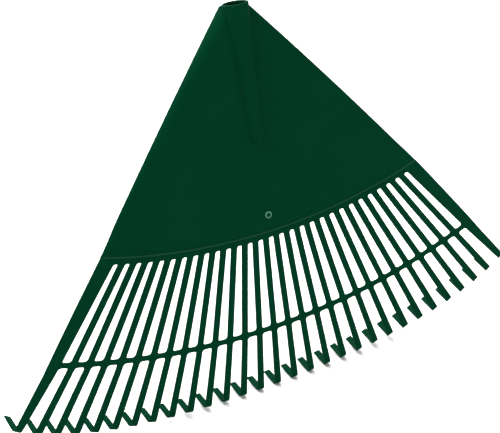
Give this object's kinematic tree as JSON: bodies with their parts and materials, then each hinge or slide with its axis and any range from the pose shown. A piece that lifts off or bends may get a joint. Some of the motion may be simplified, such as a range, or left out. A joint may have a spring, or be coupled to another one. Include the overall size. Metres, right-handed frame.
{
  "type": "leaf rake",
  "caption": "Fan leaf rake head in dark green plastic: round handle socket, flat triangular panel with turned-back edges and hooked spring tines tied by a curved band.",
  "frame": {"origin": "centre of the handle socket's mouth, in the plane of its rim", "axes": "+Z along the socket's axis and out of its mouth, -Y out of the panel's front face, +Y the side the tine hooks point to, X across the fan"},
  "size_m": [0.7708, 0.0753, 0.5462],
  "materials": {
    "green_plastic": "satin moulded polypropylene"
  },
  "bodies": {
    "rake_head": {"handle_socket": "green_plastic", "fan_panel": "green_plastic", "left_flange": "green_plastic", "right_flange": "green_plastic", "gate_ring": "green_plastic", "arc_ridge": "green_plastic", "tine_grille": "green_plastic"},
    "tine_end_01": {"tine_end_01": "green_plastic"},
    "tine_end_02": {"tine_end_02": "green_plastic"},
    "tine_end_03": {"tine_end_03": "green_plastic"},
    "tine_end_04": {"tine_end_04": "green_plastic"},
    "tine_end_05": {"tine_end_05": "green_plastic"},
    "tine_end_06": {"tine_end_06": "green_plastic"},
    "tine_end_07": {"tine_end_07": "green_plastic"},
    "tine_end_08": {"tine_end_08": "green_plastic"},
    "tine_end_09": {"tine_end_09": "green_plastic"},
    "tine_end_10": {"tine_end_10": "green_plastic"},
    "tine_end_11": {"tine_end_11": "green_plastic"},
    "tine_end_12": {"tine_end_12": "green_plastic"},
    "tine_end_13": {"tine_end_13": "green_plastic"},
    "tine_end_14": {"tine_end_14": "green_plastic"},
    "tine_end_15": {"tine_end_15": "green_plastic"},
    "tine_end_16": {"tine_end_16": "green_plastic"},
    "tine_end_17": {"tine_end_17": "green_plastic"},
    "tine_end_18": {"tine_end_18": "green_plastic"},
    "tine_end_19": {"tine_end_19": "green_plastic"},
    "tine_end_20": {"tine_end_20": "green_plastic"},
    "tine_end_21": {"tine_end_21": "green_plastic"},
    "tine_end_22": {"tine_end_22": "green_plastic"},
    "tine_end_23": {"tine_end_23": "green_plastic"},
    "tine_end_24": {"tine_end_24": "green_plastic"},
    "tine_end_25": {"tine_end_25": "green_plastic"},
    "tine_end_26": {"tine_end_26": "green_plastic"},
    "tine_end_27": {"tine_end_27": "green_plastic"},
    "tine_end_28": {"tine_end_28": "green_plastic"},
    "tine_end_29": {"tine_end_29": "green_plastic"},
    "tine_end_30": {"tine_end_30": "green_plastic"}
  },
  "joints": [
    {"name": "tine_flex_01", "type": "hinge", "parent": "rake_head", "child": "tine_end_01", "pos_m": [-0.31627, 0.00614, -0.39907], "axis": [0.781, 0.0512, -0.6224], "range_deg": [-15, 8], "stiffness_Nm_per_rad": 1.4},
    {"name": "tine_flex_02", "type": "hinge", "parent": "rake_head", "child": "tine_end_02", "pos_m": [-0.2959, 0.00675, -0.4065], "axis": [0.8061, 0.0485, -0.5898], "range_deg": [-15, 8], "stiffness_Nm_per_rad": 0.8},
    {"name": "tine_flex_03", "type": "hinge", "parent": "rake_head", "child": "tine_end_03", "pos_m": [-0.27525, 0.00733, -0.41348], "axis": [0.8303, 0.0457, -0.5555], "range_deg": [-15, 8], "stiffness_Nm_per_rad": 0.8},
    {"name": "tine_flex_04", "type": "hinge", "parent": "rake_head", "child": "tine_end_04", "pos_m": [-0.25432, 0.00786, -0.41998], "axis": [0.8535, 0.0427, -0.5194], "range_deg": [-15, 8], "stiffness_Nm_per_rad": 0.8},
    {"name": "tine_flex_05", "type": "hinge", "parent": "rake_head", "child": "tine_end_05", "pos_m": [-0.23313, 0.00835, -0.42599], "axis": [0.8756, 0.0396, -0.4815], "range_deg": [-15, 8], "stiffness_Nm_per_rad": 0.8},
    {"name": "tine_flex_06", "type": "hinge", "parent": "rake_head", "child": "tine_end_06", "pos_m": [-0.2117, 0.00881, -0.4315], "axis": [0.8964, 0.0363, -0.4418], "range_deg": [-15, 8], "stiffness_Nm_per_rad": 0.8},
    {"name": "tine_flex_07", "type": "hinge", "parent": "rake_head", "child": "tine_end_07", "pos_m": [-0.19005, 0.00922, -0.4365], "axis": [0.9157, 0.0329, -0.4005], "range_deg": [-15, 8], "stiffness_Nm_per_rad": 0.8},
    {"name": "tine_flex_08", "type": "hinge", "parent": "rake_head", "child": "tine_end_08", "pos_m": [-0.16819, 0.00959, -0.44098], "axis": [0.9334, 0.0294, -0.3576], "range_deg": [-15, 8], "stiffness_Nm_per_rad": 0.8},
    {"name": "tine_flex_09", "type": "hinge", "parent": "rake_head", "child": "tine_end_09", "pos_m": [-0.14615, 0.00991, -0.44492], "axis": [0.9493, 0.0257, -0.3132], "range_deg": [-15, 8], "stiffness_Nm_per_rad": 0.8},
    {"name": "tine_flex_10", "type": "hinge", "parent": "rake_head", "child": "tine_end_10", "pos_m": [-0.12395, 0.01019, -0.44832], "axis": [0.9633, 0.022, -0.2674], "range_deg": [-15, 8], "stiffness_Nm_per_rad": 0.8},
    {"name": "tine_flex_11", "type": "hinge", "parent": "rake_head", "child": "tine_end_11", "pos_m": [-0.10161, 0.01042, -0.45116], "axis": [0.9752, 0.0181, -0.2205], "range_deg": [-15, 8], "stiffness_Nm_per_rad": 0.8},
    {"name": "tine_flex_12", "type": "hinge", "parent": "rake_head", "child": "tine_end_12", "pos_m": [-0.07915, 0.01061, -0.45344], "axis": [0.9849, 0.0142, -0.1726], "range_deg": [-15, 8], "stiffness_Nm_per_rad": 0.8},
    {"name": "tine_flex_13", "type": "hinge", "parent": "rake_head", "child": "tine_end_13", "pos_m": [-0.0566, 0.01075, -0.45516], "axis": [0.9922, 0.0102, -0.1239], "range_deg": [-15, 8], "stiffness_Nm_per_rad": 0.8},
    {"name": "tine_flex_14", "type": "hinge", "parent": "rake_head", "child": "tine_end_14", "pos_m": [-0.03399, 0.01085, -0.45631], "axis": [0.9972, 0.0061, -0.0746], "range_deg": [-15, 8], "stiffness_Nm_per_rad": 0.8},
    {"name": "tine_flex_15", "type": "hinge", "parent": "rake_head", "child": "tine_end_15", "pos_m": [-0.01133, 0.0109, -0.45689], "axis": [0.9997, 0.002, -0.0249], "range_deg": [-15, 8], "stiffness_Nm_per_rad": 0.8},
    {"name": "tine_flex_16", "type": "hinge", "parent": "rake_head", "child": "tine_end_16", "pos_m": [0.01133, 0.0109, -0.45689], "axis": [0.9997, -0.002, 0.0249], "range_deg": [-15, 8], "stiffness_Nm_per_rad": 0.8},
    {"name": "tine_flex_17", "type": "hinge", "parent": "rake_head", "child": "tine_end_17", "pos_m": [0.03399, 0.01085, -0.45631], "axis": [0.9972, -0.0061, 0.0746], "range_deg": [-15, 8], "stiffness_Nm_per_rad": 0.8},
    {"name": "tine_flex_18", "type": "hinge", "parent": "rake_head", "child": "tine_end_18", "pos_m": [0.0566, 0.01075, -0.45516], "axis": [0.9922, -0.0102, 0.1239], "range_deg": [-15, 8], "stiffness_Nm_per_rad": 0.8},
    {"name": "tine_flex_19", "type": "hinge", "parent": "rake_head", "child": "tine_end_19", "pos_m": [0.07915, 0.01061, -0.45344], "axis": [0.9849, -0.0142, 0.1726], "range_deg": [-15, 8], "stiffness_Nm_per_rad": 0.8},
    {"name": "tine_flex_20", "type": "hinge", "parent": "rake_head", "child": "tine_end_20", "pos_m": [0.10161, 0.01042, -0.45116], "axis": [0.9752, -0.0181, 0.2205], "range_deg": [-15, 8], "stiffness_Nm_per_rad": 0.8},
    {"name": "tine_flex_21", "type": "hinge", "parent": "rake_head", "child": "tine_end_21", "pos_m": [0.12395, 0.01019, -0.44832], "axis": [0.9633, -0.022, 0.2674], "range_deg": [-15, 8], "stiffness_Nm_per_rad": 0.8},
    {"name": "tine_flex_22", "type": "hinge", "parent": "rake_head", "child": "tine_end_22", "pos_m": [0.14615, 0.00991, -0.44492], "axis": [0.9493, -0.0257, 0.3132], "range_deg": [-15, 8], "stiffness_Nm_per_rad": 0.8},
    {"name": "tine_flex_23", "type": "hinge", "parent": "rake_head", "child": "tine_end_23", "pos_m": [0.16819, 0.00959, -0.44098], "axis": [0.9334, -0.0294, 0.3576], "range_deg": [-15, 8], "stiffness_Nm_per_rad": 0.8},
    {"name": "tine_flex_24", "type": "hinge", "parent": "rake_head", "child": "tine_end_24", "pos_m": [0.19005, 0.00922, -0.4365], "axis": [0.9157, -0.0329, 0.4005], "range_deg": [-15, 8], "stiffness_Nm_per_rad": 0.8},
    {"name": "tine_flex_25", "type": "hinge", "parent": "rake_head", "child": "tine_end_25", "pos_m": [0.2117, 0.00881, -0.4315], "axis": [0.8964, -0.0363, 0.4418], "range_deg": [-15, 8], "stiffness_Nm_per_rad": 0.8},
    {"name": "tine_flex_26", "type": "hinge", "parent": "rake_head", "child": "tine_end_26", "pos_m": [0.23313, 0.00835, -0.42599], "axis": [0.8756, -0.0396, 0.4815], "range_deg": [-15, 8], "stiffness_Nm_per_rad": 0.8},
    {"name": "tine_flex_27", "type": "hinge", "parent": "rake_head", "child": "tine_end_27", "pos_m": [0.25432, 0.00786, -0.41998], "axis": [0.8535, -0.0427, 0.5194], "range_deg": [-15, 8], "stiffness_Nm_per_rad": 0.8},
    {"name": "tine_flex_28", "type": "hinge", "parent": "rake_head", "child": "tine_end_28", "pos_m": [0.27525, 0.00733, -0.41348], "axis": [0.8303, -0.0457, 0.5555], "range_deg": [-15, 8], "stiffness_Nm_per_rad": 0.8},
    {"name": "tine_flex_29", "type": "hinge", "parent": "rake_head", "child": "tine_end_29", "pos_m": [0.2959, 0.00675, -0.4065], "axis": [0.8061, -0.0485, 0.5898], "range_deg": [-15, 8], "stiffness_Nm_per_rad": 0.8},
    {"name": "tine_flex_30", "type": "hinge", "parent": "rake_head", "child": "tine_end_30", "pos_m": [0.31627, 0.00614, -0.39907], "axis": [0.781, -0.0512, 0.6224], "range_deg": [-15, 8], "stiffness_Nm_per_rad": 1.4}
  ]
}
